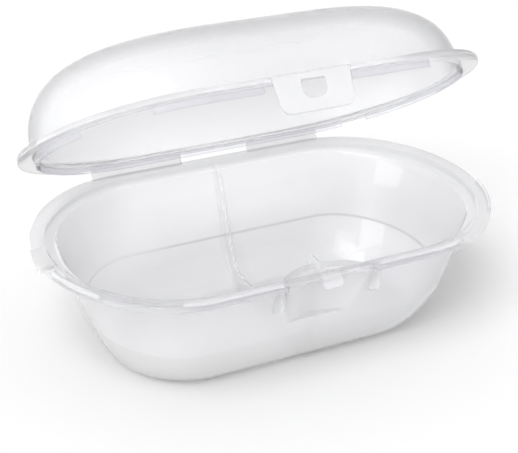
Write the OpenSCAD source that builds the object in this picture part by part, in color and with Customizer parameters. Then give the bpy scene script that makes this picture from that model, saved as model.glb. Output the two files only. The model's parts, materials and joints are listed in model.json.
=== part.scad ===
// Clamshell carry and steriliser case for a soother, moulded in clear polypropylene.
// The tray stands on its flat floor. X runs along the case, -Y is the latch side,
// +Y is the hinge side, and Z is up. The origin is the centre of the tray's floor.
// Lid parts are drawn shut and then swung open about the hinge line by lid_open.

/* [Rim] */
// Length of both rims, end to end
rim_length = 126; // [116:1:140]
// Width of both rims, front to back
rim_width = 74.4; // [68:0.2:84]
// Length of the straight stretch along the front and the back of the rims
rim_straight = 59.2; // [52:0.2:64]
// Thickness of both rim flanges
flange_thick = 1.3; // [1:0.1:1.6]
// Width of the flange outside the tray's mouth
flange_width = 3.7; // [3.3:0.1:5]
// Gap between the two flanges when the case is shut
rim_gap = 1; // [0.8:0.1:1.6]

/* [Tray] */
// Height of the tray from floor to rim
tray_height = 34; // [30:0.5:42]
// Thickness of every moulded wall
wall = 1; // [0.8:0.1:1.2]
// Depth of the straight seat that takes the lid's skirt
seat_depth = 1.6; // [1.2:0.1:2.4]
// Ledge from the seat in to the end walls
end_ledge = 3.5; // [2.5:0.1:5]
// Ledge from the seat in to the front and back walls
side_ledge = 0.6; // [0.3:0.1:1.5]
// Inward lean of the walls, mm in for each mm down
wall_lean = 0.34; // [0.2:0.01:0.4]
// Height of the crease where wall meets bowl
crease_height = 13.6; // [10:0.1:16]
// Flat run at the foot of the bowl, at the ends
foot_run_end = 2; // [1:0.1:4]
// Flat run at the foot of the bowl, at the front and back
foot_run_side = 4.5; // [2:0.1:6]

/* [Divider] */
// Thickness of the divider fin
fin_thick = 1; // [0.8:0.1:2]
// Height of the fin's free edge over the floor
fin_height = 5; // [3:0.1:8]
// Width of the fin at the rim
fin_top = 1.2; // [0.8:0.1:2]

/* [Lid] */
// Height of the dome over the lid's flange
dome_height = 22.5; // [18:0.5:30]
// Depth of the skirt under the lid's flange
skirt_depth = 1.6; // [1.3:0.1:2]
// Angle that the lid stands open at
lid_open = 36.9; // [20:0.1:60]

/* [Latch] */
// Width of the latch tab
tab_width = 20.6; // [16:0.2:24]
// Length of the latch tab below the lid's flange
tab_drop = 8.3; // [7.6:0.1:10]
// Thickness of the latch tab
tab_thick = 1; // [0.8:0.1:1.2]
// Width of the window in the tab
window_width = 6.5; // [5.5:0.1:8]
// Height of the window in the tab
window_height = 4.5; // [4.1:0.1:5]
// Width of the catch block that the window drops over
catch_width = 5; // [4:0.1:5.2]
// Width of the finger recess at its mouth
recess_width = 25; // [23:0.2:30]

/* [Hinge] */
// Distance of the hinge line behind the rims
hinge_reach = 1.6; // [1.3:0.1:2.2]
// Outer end of each hinge strap, from the middle
strap_outer = 35.3; // [30:0.1:40]
// Open gap between the two straps
strap_gap = 21; // [12:0.2:30]
// Offset of that gap towards the right
gap_offset = 1.9; // [0:0.1:3]
// Radius of the thin flexing web on the hinge line
web_radius = 0.3; // [0.2:0.05:0.35]

/* [Hidden] */

// Steps round each rounded end, and steps from crease to floor and from rim to crown
end_steps = 24;
bowl_steps = 6;
dome_steps = 12;
// Running clearance in a flexing joint, free clearance between parts that pass, and cutting overlap
fit = 0.05;
free = 0.3;
cut = 1;

// Rim outline: half length, half width, half straight
rim = [rim_length / 2, rim_width / 2, rim_straight / 2];
// Each outline's straight stretch is a little shorter than the rim's, on either side
mouth_short = 3.2;
wall_short = 4.6;
crease_short = 1.1;
floor_short = 8.2;
dome_short = 9.6;
mouth = rim - [flange_width, flange_width, mouth_short];
mouth_outer = mouth + [wall, wall, 0];

// Tray levels
flange_base = tray_height - flange_thick;
seat_level = tray_height - seat_depth;
ledge_drop = 1.2;
wall_top = seat_level - ledge_drop;
// Inner wall outline under the ledge, at the crease and at the floor
bowl_lean = 0.4;
wall_fall = wall_top - crease_height;
top_in = [mouth[0] - end_ledge, mouth[1] - side_ledge, rim[2] - wall_short];
wall_in = wall_lean * wall_fall;
crease_in = [top_in[0] - wall_in, top_in[1] - wall_in, rim[2] - crease_short];
bowl_in = bowl_lean * crease_height;
floor_in = [
    crease_in[0] - bowl_in - foot_run_end,
    crease_in[1] - bowl_in - foot_run_side,
    rim[2] - floor_short
];

// Lid levels, with the lid shut
lid_base = tray_height + rim_gap;
lid_top = lid_base + flange_thick;
skirt_out = mouth - [free, free, 0];
skirt_in = skirt_out - [wall, wall, 0];
skirt_foot = lid_base - skirt_depth;
dome_end = 3.5;
dome_side = 4.2;
dome_out = [rim[0] - dome_end, rim[1] - dome_side, rim[2] - dome_short];
// Powers that shape the dome along, across and upwards
dome_power = [0.44, 0.92, 0.85];
// Last ring of the dome, in degrees, before its small flat crown
dome_last = 88;

// Hinge line
hinge_y = rim[1] + hinge_reach;
hinge_z = tray_height + rim_gap / 2;
strap_left = [-strap_outer, gap_offset - strap_gap / 2];
strap_right = [gap_offset + strap_gap / 2, strap_outer];
leaf_thick = 0.8;
leaf_short = 0.1;
leaf_step = 0.3;

// Latch: the tab stands flush with the rims, in a step cut into both flanges
tab_out = rim[1];
tab_in = tab_out - tab_thick;
step_in = tab_in - free;
notch_half_lid = tab_width / 2 + 2 * free;
tab_foot = lid_base - tab_drop;
tab_corner = 2;
tab_taper = 0.7;
pivot_radius = 0.25;
pivot_proud = 0.2;
pivot_y = pivot_proud - tab_in;
pivot_z = (lid_base + lid_top) / 2;
window_drop = 0.6;
window_top = lid_base - window_drop;
window_foot = window_top - window_height;
window_round = 2.4;
// The catch's lower corners clear the window's rounded foot
catch_corner = max(0, catch_width / 2 - window_width / 2 + window_round);
catch_lift = window_round - sqrt(window_round * window_round - catch_corner * catch_corner);
catch_foot = window_foot + catch_lift + free;
catch_proud = 0.2;
catch_out = tab_out + catch_proud;
catch_lead = 0.9;

// Finger recess behind the latch: a half ellipse in plan, under a shelf at the seat
recess_half = recess_width / 2;
recess_deep = 9.6;
shelf_thick = wall + 0.4;
recess_top = seat_level - shelf_thick;
recess_rise = 5;
recess_foot = crease_height + recess_rise;
recess_back = rim[1] - recess_deep - wall;
guide_thick = 1;
guide_out = rim[1] - 1;
guide_rise = 5.2;
guide_toe = 3;
guide_foot = recess_foot + guide_rise;

// Beads and lips on the tray's flange
bead_edge = 0.5;
bead_width = 1.6;
bead_start = 0.8;
bead_near = recess_half + bead_start;
bead_run = 10;
bead_far = rim[2] + bead_run;
bead_clear = 0.1;
bead_top = lid_base - bead_clear;
lip_width = 0.9;
lip_run = 7.5;
lip_near = rim[0] - lip_run;
lip_stop = 8;
nib_reach = 1.6;
nib_half = 6;
nib_deep = 2.6;

// Divider: its free edge runs straight down to a knee, then bends to lie level over the floor
fin_steps = 5;
fin_level = wall + fin_height;
fin_knee_out = 3.2;
fin_knee_rise = 4;
fin_knee = floor_in[1] + fin_knee_out;
fin_knee_level = fin_level + fin_knee_rise;
fin_bend = 11;
fin_pull = 2;
fin_rim_back = mouth[1] - side_ledge - fin_top;
fin_front_in = 2;
fin_rim_front = recess_back - fin_front_in;
fin_lift = 1.4;

// Stretches of the lid's skirt, with vents between them: how far the two front ones run past the
// straight stretch, how far the end one comes in from the end and to the front and the back, how
// far in the back one stops, and where the vent lies that parts it from the right one
skirt_left_run = 12.9;
skirt_right_run = 9.6;
skirt_end_run = 6;
skirt_end_front = 24;
skirt_end_back = 6;
skirt_back_in = 2;
vent_run = 15.6;
vent_width = 4.3;
vent_near = mouth[2] + vent_run;

// Outline of a rim or wall: straight sides joined by half ellipses, o = [half length,
// half width, half straight]
function outline(o) = [
    for (side = [1, -1])
        for (i = [0:end_steps])
            let (a = -90 + 180 * i / end_steps)
                [side * (o[2] + (o[0] - o[2]) * cos(a)), side * o[1] * sin(a)]
];
function ring(o, z) = [for (p = outline(o)) [p[0], p[1], z]];
function mix(a, b, t) = a + (b - a) * t;
ring_size = 2 * (end_steps + 1);

// Solid with a stack of rings, lowest first
module stack(rings) {
    last = len(rings) - 1;
    points = [for (r = rings) each r];
    sides = [
        for (k = [0:last - 1])
            for (i = [0:ring_size - 1])
                let (a = k * ring_size + i)
                    let (b = k * ring_size + (i + 1) % ring_size)
                        each [[a, b + ring_size, b], [a, a + ring_size, b + ring_size]]
    ];
    foot = [for (i = [0:ring_size - 1]) i];
    crown = [for (i = [ring_size - 1:-1:0]) last * ring_size + i];
    polyhedron(points, concat([foot], sides, [crown]));
}

// Inside of the tray at step t of the bowl: 0 at the floor, 1 at the crease.
// The bowl is a quadratic curve that leaves the floor level.
function bowl_at(t) =
    let (u = 1 - t)
        let (k = 2 * t * u + u * u)
            [crease_in[0] - bowl_in * k - foot_run_end * u * u,
             crease_in[1] - bowl_in * k - foot_run_side * u * u,
             mix(crease_in[2], floor_in[2], u)];
function bowl_z(t, low) = low + (crease_height - low) * t * t;

// Rings of the tray, grown outwards by g, with the floor at low
function tray_rings(g, low) = [
    for (i = [0:bowl_steps])
        let (t = i / bowl_steps)
            ring(bowl_at(t) + [g, g, 0], bowl_z(t, low)),
    ring(top_in + [g, g, 0], wall_top)
];

module plate(o, low, high) {
    translate([0, 0, low])
        linear_extrude(high - low)
            polygon(outline(o));
}

// Finger recess as a solid, grown by g
module recess(g, low, high) {
    translate([0, -rim[1], low])
        linear_extrude(high - low)
            polygon([
                for (i = [0:end_steps])
                    let (a = 180 * i / end_steps)
                        [(recess_half + g) * cos(a), (recess_deep + g) * sin(a)]
            ]);
}

module base_tray() {
    color("gainsboro", 0.5)
        difference() {
            union() {
                difference() {
                    stack(tray_rings(wall, 0));
                    recess(0, recess_foot, recess_top);
                }
                ledge_body();
            }
            difference() {
                stack(concat(tray_rings(0, wall), [ring(mouth, seat_level)]));
                recess(wall, recess_foot - wall, seat_level + cut);
            }
            plate(mouth, seat_level, tray_height + cut);
        }
}

// Seat wall and ledge over the tray's wall
module ledge_body() {
    stack([
        ring(top_in + [wall, wall, 0], wall_top),
        ring(mouth_outer, seat_level - wall / 2),
        ring(mouth_outer, tray_height)
    ]);
}

// Flange ring between two outlines
module flange(inner, low, high) {
    difference() {
        plate(rim, low, high);
        plate(inner, low - cut, high + cut);
    }
}

// Step in the front edge of a flange, where the latch tab stands
module front_step(half, low, high) {
    translate([-half, -rim[1] - cut, low - cut])
        cube([2 * half, rim[1] + cut - step_in, high - low + 2 * cut]);
}

module base_rim() {
    color("gainsboro", 0.6)
        difference() {
            flange(mouth_outer, flange_base, tray_height);
            front_step(recess_half, flange_base, tray_height);
        }
}

// Raised strip on the tray's flange: its distance in from the edge, its width, its stretch
// along X, and how far in front of the middle it stops
module bead(edge, width, x_low, x_high, stop) {
    intersection() {
        difference() {
            plate(rim - [edge, edge, 0], tray_height, bead_top);
            plate(rim - [edge + width, edge + width, 0], tray_height - cut, bead_top + cut);
        }
        translate([x_low, -rim[1] - cut, tray_height])
            cube([x_high - x_low, rim[1] + cut - stop, bead_top - tray_height]);
    }
}

// The two beads that the lid's flange closes on, either side of the latch
module rim_beads_front() {
    color("white", 0.7) {
        bead(bead_edge, bead_width, -bead_far, -bead_near, 0);
        bead(bead_edge, bead_width, bead_near, bead_far, 0);
    }
}

// Lips along the edge at the front corners of the two rounded ends
module rim_lips_end() {
    color("white", 0.7) {
        bead(0, lip_width, -rim[0], -lip_near, lip_stop);
        bead(0, lip_width, lip_near, rim[0], lip_stop);
    }
}

// Nib at the left end, to part lid and tray with a finger
module grip_nib() {
    color("white", 0.7)
        difference() {
            translate([-rim[0] - nib_reach, -nib_half, tray_height - nib_deep])
                cube([2 * nib_reach, 2 * nib_half, nib_deep]);
            plate(rim, tray_height - nib_deep - cut, tray_height + cut);
        }
}

// Section of the tray through its straight middle, as [distance from the middle, height],
// grown outwards by g with the floor at low
function section(g, low) = concat(
    [for (i = [0:bowl_steps]) [bowl_at(i / bowl_steps)[1] + g, bowl_z(i / bowl_steps, low)]],
    [[top_in[1] + g, wall_top]]
);
function mirrored(p) = [for (i = [len(p) - 1:-1:0]) [-p[i][0], p[i][1]]];
inner_half = concat(section(0, wall), [[mouth[1], seat_level]]);
outer_half = concat(
    section(wall, 0),
    [[mouth_outer[1], seat_level - wall / 2], [mouth_outer[1], tray_height]]
);

// Flat shape in the YZ plane, with Y to its right, made thick along X and centred at x
module slab(x, thick) {
    translate([x - thick / 2, 0, 0])
        rotate([90, 0, 90])
            linear_extrude(thick)
                children();
}

// Quadratic curve from a to c, pulled towards b
function bend(a, b, c) = [
    for (i = [0:fin_steps])
        let (t = i / fin_steps)
            a * (1 - t) * (1 - t) + b * 2 * t * (1 - t) + c * t * t
];
fin_curve = bend(
    [fin_knee, fin_knee_level],
    [fin_knee - fin_pull, fin_level],
    [fin_knee - fin_bend, fin_level]
);

module divider_fin() {
    color("white", 0.6)
        slab(0, fin_thick)
            difference() {
                union() {
                    polygon(concat(inner_half, mirrored(inner_half)));
                    translate([free - mouth[1], seat_level])
                        square([mouth[1] - free - fin_rim_front, fin_lift]);
                }
                polygon(concat(
                    [[fin_rim_back, tray_height]],
                    fin_curve,
                    mirrored(fin_curve),
                    [[-fin_rim_front, tray_height]]
                ));
                translate([-rim[1], recess_foot - wall])
                    square([rim[1] - recess_back, seat_level - recess_foot + wall]);
            }
}

// Two gussets that guard the sides of the latch tab
module latch_guides() {
    color("white", 0.6)
        for (side = [-1, 1])
            slab(side * (recess_half + guide_thick), guide_thick)
                difference() {
                    polygon([
                        [-guide_out, flange_base],
                        [-guide_out, guide_foot + guide_toe],
                        [-recess_back, guide_foot - guide_toe],
                        [-recess_back, flange_base]
                    ]);
                    polygon(concat(outer_half, mirrored(outer_half)));
                }
}

// Block that hooks through the tab's window, with a lead that spreads the tab as the lid shuts
module latch_catch() {
    color("white", 0.8)
        slab(0, catch_width)
            difference() {
                polygon([
                    [-catch_out, catch_foot],
                    [-mouth_outer[1] + wall, catch_foot + 1],
                    [-mouth_outer[1] + wall, flange_base],
                    [-step_in, flange_base],
                    [-step_in, tray_height],
                    [-tab_in, tray_height],
                    [-catch_out, tray_height - catch_lead]
                ]);
                polygon(concat(outer_half, mirrored(outer_half)));
            }
}

// Section of one side's hinge leaf, from the flange's edge to just short of the hinge line,
// so that the two leaves pass when the lid lies flat open
module leaf_section() {
    polygon([
        [rim[1], flange_base + leaf_step],
        [hinge_y - leaf_short, hinge_z - leaf_thick / 2],
        [hinge_y - leaf_short, hinge_z - fit],
        [rim[1], tray_height - fit]
    ]);
}

// Leaves along both straps, cleared by gap around the flexing web
module leaves(gap) {
    for (strap = [strap_left, strap_right])
        slab((strap[0] + strap[1]) / 2, strap[1] - strap[0])
            difference() {
                leaf_section();
                translate([hinge_y, hinge_z])
                    circle(r = web_radius + gap, $fn = 32);
            }
}

module hinge_leaves_base() {
    color("gainsboro", 0.7)
        leaves(0);
}

// The thin web that flexes, taken as a rod on the hinge line
module web(strap) {
    translate([strap[0], hinge_y, hinge_z])
        rotate([0, 90, 0])
            cylinder(h = strap[1] - strap[0], r = web_radius, $fn = 32);
}

module hinge_web_left() {
    color("gainsboro", 0.7)
        web(strap_left);
}

module hinge_web_right() {
    color("gainsboro", 0.7)
        web(strap_right);
}

// Everything on the lid is drawn shut and swung open here
module swing() {
    translate([0, hinge_y, hinge_z])
        rotate([-lid_open, 0, 0])
            translate([0, -hinge_y, -hinge_z])
                children();
}

// Ring of the dome at angle a, for an outline o and a height h: flange at 0, crown near 90
function dome_ring(o, h, a) = ring(
    [o[0] * pow(cos(a), dome_power[0]), o[1] * pow(cos(a), dome_power[1]), o[2] * pow(cos(a), dome_power[0])],
    lid_top + h * pow(sin(a), dome_power[2])
);
function dome_rings(o, h) = [for (i = [0:dome_steps]) dome_ring(o, h, dome_last * i / dome_steps)];

module lid_dome() {
    color("gainsboro", 0.4)
        swing()
            difference() {
                stack(dome_rings(dome_out, dome_height));
                stack(concat(
                    [ring(dome_out - [wall, wall, 0], lid_top - cut)],
                    dome_rings(dome_out - [wall, wall, 0], dome_height - wall)
                ));
            }
}

module lid_rim() {
    color("gainsboro", 0.6)
        swing()
            difference() {
                flange(skirt_in, lid_base, lid_top);
                front_step(notch_half_lid, lid_base, lid_top);
                translate([-rim[0], pivot_y, pivot_z])
                    rotate([0, 90, 0])
                        cylinder(h = rim_length, r = pivot_radius + fit, $fn = 32);
            }
}

// Stretch of the skirt inside a box given by its low and high corners in plan
module skirt(low, high) {
    color("gainsboro", 0.7)
        swing()
            intersection() {
                difference() {
                    plate(skirt_out, skirt_foot, lid_base);
                    plate(skirt_in, skirt_foot - cut, lid_base + cut);
                }
                translate([low[0], low[1], skirt_foot])
                    cube([high[0] - low[0], high[1] - low[1], skirt_depth]);
            }
}

module lid_skirt_front_left() {
    skirt([-mouth[2] - skirt_left_run, -rim[1]], [-notch_half_lid, 0]);
}

module lid_skirt_front_right() {
    skirt([notch_half_lid, -rim[1]], [mouth[2] + skirt_right_run, 0]);
}

module lid_skirt_left() {
    skirt([-rim[0], -skirt_end_front], [skirt_end_run - skirt_out[0], skirt_end_back]);
}

module lid_skirt_back() {
    skirt([skirt_back_in - skirt_out[0], 0], [vent_near, rim[1]]);
}

module lid_skirt_right() {
    skirt([vent_near + vent_width, -skirt_end_front], [rim[0], rim[1]]);
}

module hinge_leaves_lid() {
    color("gainsboro", 0.7)
        swing()
            translate([0, 0, 2 * hinge_z])
                mirror([0, 0, 1])
                    leaves(fit);
}

// Face of the latch tab: slightly tapered, with round lower corners
module tab_face() {
    half = tab_width / 2;
    foot = half - tab_taper;
    difference() {
        union() {
            polygon([
                [-half, lid_top],
                [-foot, tab_foot + tab_corner],
                [foot, tab_foot + tab_corner],
                [half, lid_top]
            ]);
            for (side = [-1, 1])
                translate([side * (foot - tab_corner), tab_foot + tab_corner])
                    circle(r = tab_corner, $fn = 48);
            translate([-foot + tab_corner, tab_foot])
                square([2 * (foot - tab_corner), tab_corner + 1]);
        }
        translate([-window_width / 2, window_foot + window_round])
            square([window_width, window_height - window_round]);
        for (side = [-1, 1])
            translate([side * (window_width / 2 - window_round), window_foot + window_round])
                circle(r = window_round, $fn = 48);
        translate([-window_width / 2 + window_round, window_foot])
            square([window_width - 2 * window_round, window_round + 1]);
    }
}

module latch_tab() {
    color("white")
        swing() {
            translate([0, -tab_in, 0])
                rotate([90, 0, 0])
                    linear_extrude(tab_thick)
                        tab_face();
            translate([-tab_width / 2, pivot_y, pivot_z])
                rotate([0, 90, 0])
                    cylinder(h = tab_width, r = pivot_radius, $fn = 32);
        }
}

base_tray();
base_rim();
rim_beads_front();
rim_lips_end();
grip_nib();
divider_fin();
latch_guides();
latch_catch();
hinge_leaves_base();
hinge_web_left();
hinge_web_right();
lid_dome();
lid_rim();
lid_skirt_front_left();
lid_skirt_front_right();
lid_skirt_left();
lid_skirt_back();
lid_skirt_right();
hinge_leaves_lid();
latch_tab();
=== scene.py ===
"""Looks of a clear polypropylene carry case for a soother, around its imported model.

The case is one moulding: a deep tray and a domed lid joined by two bending straps, and a latch
tab that flexes on the lid's rim. Each class below holds one sub-assembly: its sizes, the
surfaces worked out from them and the finish that they get. Sizes are in millimetres, and a
mesh is turned into metres when it is made. X runs along the case, -Y is the latch side, +Y is
the hinge side and Z is up.
"""

import json
import logging
import math
from dataclasses import dataclass, field
from enum import Enum
from typing import Iterable, Sequence, Union

import bpy
import numpy as np
from mathutils import Matrix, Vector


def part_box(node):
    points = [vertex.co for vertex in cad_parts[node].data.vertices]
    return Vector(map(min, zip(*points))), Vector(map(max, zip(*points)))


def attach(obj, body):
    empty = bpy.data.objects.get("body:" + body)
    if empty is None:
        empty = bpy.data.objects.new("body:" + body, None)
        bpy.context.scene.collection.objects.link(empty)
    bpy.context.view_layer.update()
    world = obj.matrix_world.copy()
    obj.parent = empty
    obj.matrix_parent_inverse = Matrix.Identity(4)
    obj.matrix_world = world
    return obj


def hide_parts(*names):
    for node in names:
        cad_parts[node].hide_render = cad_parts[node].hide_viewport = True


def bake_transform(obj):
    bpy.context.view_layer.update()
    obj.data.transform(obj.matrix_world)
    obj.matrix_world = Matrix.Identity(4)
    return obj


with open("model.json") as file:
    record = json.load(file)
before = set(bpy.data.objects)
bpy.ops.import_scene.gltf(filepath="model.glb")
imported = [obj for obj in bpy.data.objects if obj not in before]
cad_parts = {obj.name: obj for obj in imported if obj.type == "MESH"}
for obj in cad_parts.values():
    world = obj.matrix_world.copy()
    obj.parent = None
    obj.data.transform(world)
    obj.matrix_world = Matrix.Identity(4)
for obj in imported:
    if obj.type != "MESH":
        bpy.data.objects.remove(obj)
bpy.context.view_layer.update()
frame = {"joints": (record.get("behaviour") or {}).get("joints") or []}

Array = np.ndarray
Point = Sequence[float]
Socket = bpy.types.NodeSocket
Feed = Union[Socket, float, Point]
Sockets = dict[Union[str, int], Feed]
LOG = logging.getLogger("case")
MM = 0.001
STRAIGHT = 29.6  # half of the rim's straight stretch
SHARP_ANGLE = math.radians(38)
GRAIN_SCALE = 900.0
GRAIN_DEPTH = 0.0002


class Body(Enum):
    """Rigid bodies that a piece can ride on."""

    TRAY = "tray"
    LID = "lid"
    LATCH = "latch"


class Slot(Enum):
    """Material slots of the record."""

    TRAY = "tray_plastic"
    LID = "lid_plastic"
    RIM = "rim_plastic"
    LATCH = "latch_plastic"
    HINGE = "hinge_plastic"


class Mark(Enum):
    """Attributes of a mesh that its finish reads, as weights from 0 to 1."""

    PAINTED_SHADE = "painted_shade"  # painted shade: darker crease, flange, seat, ends and lid inside
    FROST = "frost"  # rougher
    PAINTED_LIGHT = "painted_light"  # painted light: lighter where light through the case would gather
    EVEN = "even"  # not shaded by the slant at which it is seen


# ------------------------ curves and surfaces


def unit(vectors: Array) -> Array:
    """The vectors scaled to length 1."""
    return vectors / np.linalg.norm(vectors, axis=-1, keepdims=True)


def distances(line: Array) -> Array:
    """Distance along a line of points from its first to each of them."""
    return np.concatenate([[0], np.cumsum(np.linalg.norm(np.diff(line, axis=0), axis=1))])


def ramp(value: Array, start: float, run: float) -> Array:
    """Weight that rises from 0 at start to 1 at start + run, where run may be negative."""
    return np.clip((value - start) / run, 0, 1)


def bezier(path: Array, steps: int) -> Array:
    """Curve between a path's ends, drawn to its n + 1 points by weights C(n, i) (1-t)^(n-i) t^i."""
    t, n = np.linspace(0, 1, steps + 1)[:, None], len(path) - 1
    return sum(math.comb(n, i) * (1 - t) ** (n - i) * t**i * path[i] for i in range(n + 1))


def smooth_max(low: Array, high: Array, blend: float) -> Array:
    """The larger of two arrays, rounded over where they differ by less than blend."""
    # With h = 1/2 + (high - low) / (2 blend), held to 0..1: low + h (high - low) + blend h (1 - h).
    h = np.clip(0.5 + 0.5 * (high - low) / blend, 0, 1)
    return low + h * (high - low) + blend * h * (1 - h)


def edge_rounding(radius: float, steps: int = 4) -> tuple[Array, Array]:
    """How far in and how deep a quarter-round edge is: radius (1 - cos t), radius sin t."""
    t = np.linspace(0, math.pi / 2, steps + 1)
    return radius * (1 - np.cos(t)), radius * np.sin(t)


@dataclass(frozen=True)
class Outline:
    """Straight sides joined by half ellipses: half length a, half width b, and a straight
    stretch that reaches s on either side of the middle."""

    a: float
    b: float
    s: float

    def grown(self, g: float) -> "Outline":
        """The outline with its edge moved outwards by g."""
        return Outline(self.a + g, self.b + g, self.s)

    def row(self, z: float, push: float = 0.0, fillet: float = 0.35) -> list[float]:
        """Row of a profile: sizes, height, push of the finger recess and reach of the fillet."""
        return [self.a, self.b, self.s, z, push, fillet]


def front_steps(dense: float, ends: int, middle: int) -> Array:
    """Values of p between -1 and 1 for stations(), closer together within dense of 0."""
    side, mid = np.linspace(-1, -dense, ends)[1:], np.linspace(-dense, dense, middle)[1:-1]
    return np.concatenate([side, mid, np.linspace(dense, 1, ends)[:-1]])


def stations(front: Array, arc: int = 60, back: int = 30) -> Array:
    """Coefficients of the points round an outline, counter-clockwise from its right front.

    A point is x = p * s + q * (a - s), y = r * b. On the right end p = 1, q = cos t, r = sin t
    with t from -90 to 90 degrees; the left end is its mirror image; on the straight sides
    q = 0 and r is 1 at the back and -1 at the front.

    Args:
        front: Values of p along the front, from -1 to 1, without its ends.
        arc: Steps round each end.
        back: Steps along the back.

    Returns:
        One row of p, q and r for each point.
    """
    t = np.radians(np.linspace(-90, 90, arc + 1))
    p_back = np.linspace(1, -1, back + 1)[1:-1]
    right = np.stack([np.ones_like(t), np.cos(t), np.sin(t)], 1)
    rear = np.stack([p_back, 0 * p_back, 1 + 0 * p_back], 1)
    fore = np.stack([front, 0 * front, 0 * front - 1], 1)
    return np.concatenate([right, rear, -right, fore])


def loft(rows: Array, around: Array) -> Array:
    """Grid of points where each profile row is an outline at its own height.

    Args:
        rows: Profile rows of a, b, s and z (further columns are left alone).
        around: Rows of p, q and r from stations().

    Returns:
        Points, one line of the grid for each profile row.
    """
    a, b, s, z = (rows[:, i : i + 1] for i in range(4))
    p, q, r = around.T
    x = p * s + q * (a - s)
    return np.stack([x, r * b, np.broadcast_to(z, x.shape)], 2)


def filleted(rows: Sequence[Point], steps: int = 4, most: float = 0.45) -> Array:
    """A profile whose inner corners are replaced by quadratic curves.

    Each corner c becomes (1-t)^2 u + 2t(1-t) c + t^2 v, where u and v lie before and after it
    at the distance in the corner's last column, or nearer where the next corner is close.

    Args:
        rows: Profile rows, whose last column is the reach of the fillet.
        steps: Steps in each curve.
        most: Largest share of the way to the next corner that a fillet takes.

    Returns:
        The rows of the new profile, without the last column.
    """
    full = np.array(rows, float)
    pts, reach = full[:, :-1], full[1:-1, -1:]
    mid = pts[1:-1]
    ends = []
    for near in (pts[:-2], pts[2:]):
        length = np.linalg.norm(near - mid, axis=1, keepdims=True)
        ends.append((mid + (near - mid) / length * np.minimum(reach, most * length))[:, None])
    t = np.linspace(0, 1, steps + 1)[None, :, None]
    curve = (1 - t) ** 2 * ends[0] + 2 * t * (1 - t) * mid[:, None] + t**2 * ends[1]
    return np.concatenate([pts[:1], curve.reshape(-1, pts.shape[1]), pts[-1:]])


@dataclass(frozen=True)
class Rounded:
    """A closed flat outline with round corners: point = core + depth * normal."""

    core: Array
    normal: Array

    @staticmethod
    def from_polygon(corners: Sequence[Point], radius: float, steps: int = 4) -> "Rounded":
        """Outline of a polygon, given counter-clockwise, with its corners rounded.

        At an outward corner the normal sweeps from one side's to the next side's. At an
        inward one it stays on the corner's own line, and the corner stays sharp.

        Args:
            corners: The polygon's corners.
            radius: Radius of the round corners.
            steps: Steps round each corner.

        Returns:
            The outline, whose points are core + radius * normal.
        """
        pts = np.array(corners, float)
        side = unit(np.roll(pts, -1, 0) - pts)
        out = np.stack([side[:, 1], -side[:, 0]], 1)
        last = np.roll(out, 1, 0)
        level = np.sum(last * out, 1)
        miter = (last + out) / (1 + level[:, None])
        turn = np.arctan2(last[:, 0] * out[:, 1] - last[:, 1] * out[:, 0], level)
        first = np.arctan2(last[:, 1], last[:, 0])
        angle = first[:, None] + turn[:, None] * np.linspace(0, 1, steps + 1)
        swept = np.stack([np.cos(angle), np.sin(angle)], 2)
        normal = np.where((turn < 0)[:, None, None], miter[:, None], swept)
        return Rounded(np.repeat(pts - radius * miter, steps + 1, 0), normal.reshape(-1, 2))

    def at(self, depth: Array) -> Array:
        """Points of the outline moved outwards from its core by depth, a line for each depth."""
        return self.core + np.reshape(depth, (-1, 1, 1)) * self.normal


@dataclass
class Surface:
    """A grid of points that is closed round its columns, and closed at its ends by flat faces
    or by joining its last row to its first. A mark is a grid of weights, one for each point."""

    points: Array
    joined: bool = False
    marks: dict[Mark, Array] = field(default_factory=dict)

    def faces(self, first: int) -> list[list[int]]:
        """The grid's faces: four-sided ones between neighbours, and one over each open end.

        Args:
            first: Number of its first point.

        Returns:
            Lists of points.
        """
        rows, cols = self.points.shape[:2]
        r = np.arange(rows if self.joined else rows - 1)[:, None]
        c = np.arange(cols)[None, :]
        r2, c2 = (r + 1) % rows, (c + 1) % cols
        quads = np.stack([r * cols + c, r * cols + c2, r2 * cols + c2, r2 * cols + c], 2)
        found = (first + quads.reshape(-1, 4)).tolist()
        if not self.joined:
            found.append(list(range(first + cols - 1, first - 1, -1)))
            found.append(list(range(first + (rows - 1) * cols, first + rows * cols)))
        return found

    def turned_out(self) -> "Surface":
        """The same surface with its faces pointing outwards.

        Its volume is the sum of a . (b x c) over its triangles. Where that is negative, the
        columns change their order.

        Returns:
            The surface, or its copy turned round.
        """
        p = self.points
        here, beyond = (p, np.roll(p, -1, 0)) if self.joined else (p[:-1], p[1:])
        b, c = np.roll(here, -1, 1), np.roll(beyond, -1, 1)
        volume = np.sum(here * np.cross(b, c)) + np.sum(here * np.cross(c, beyond))
        if not self.joined:
            for ring, way in ((p[0], -1), (p[-1], 1)):
                volume += way * np.sum(ring.mean(0) * np.cross(ring, np.roll(ring, -1, 0)))
        if volume > 0:
            return self
        marks = {mark: weights[:, ::-1] for mark, weights in self.marks.items()}
        return Surface(p[:, ::-1], self.joined, marks)


def prism(outline: Rounded, low: float, high: float, radius: float, upright: bool = False) -> Surface:
    """A flat outline made thick, with round edges all round.

    Args:
        outline: Outline in Y and Z, or in X and Y for an upright one.
        low: Lower end along X, or along Z for an upright one.
        high: Upper end.
        radius: Radius of its corners and edges.
        upright: Whether it is thick along Z.

    Returns:
        The prism.
    """
    inset, depth = edge_rounding(radius)
    flat = outline.at(np.concatenate([depth, depth[::-1]]))
    along = np.concatenate([low + inset, (high - inset)[::-1]])
    along = np.broadcast_to(along[:, None, None], flat.shape[:2] + (1,))
    return Surface(np.concatenate([flat, along] if upright else [along, flat], 2))


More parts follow.
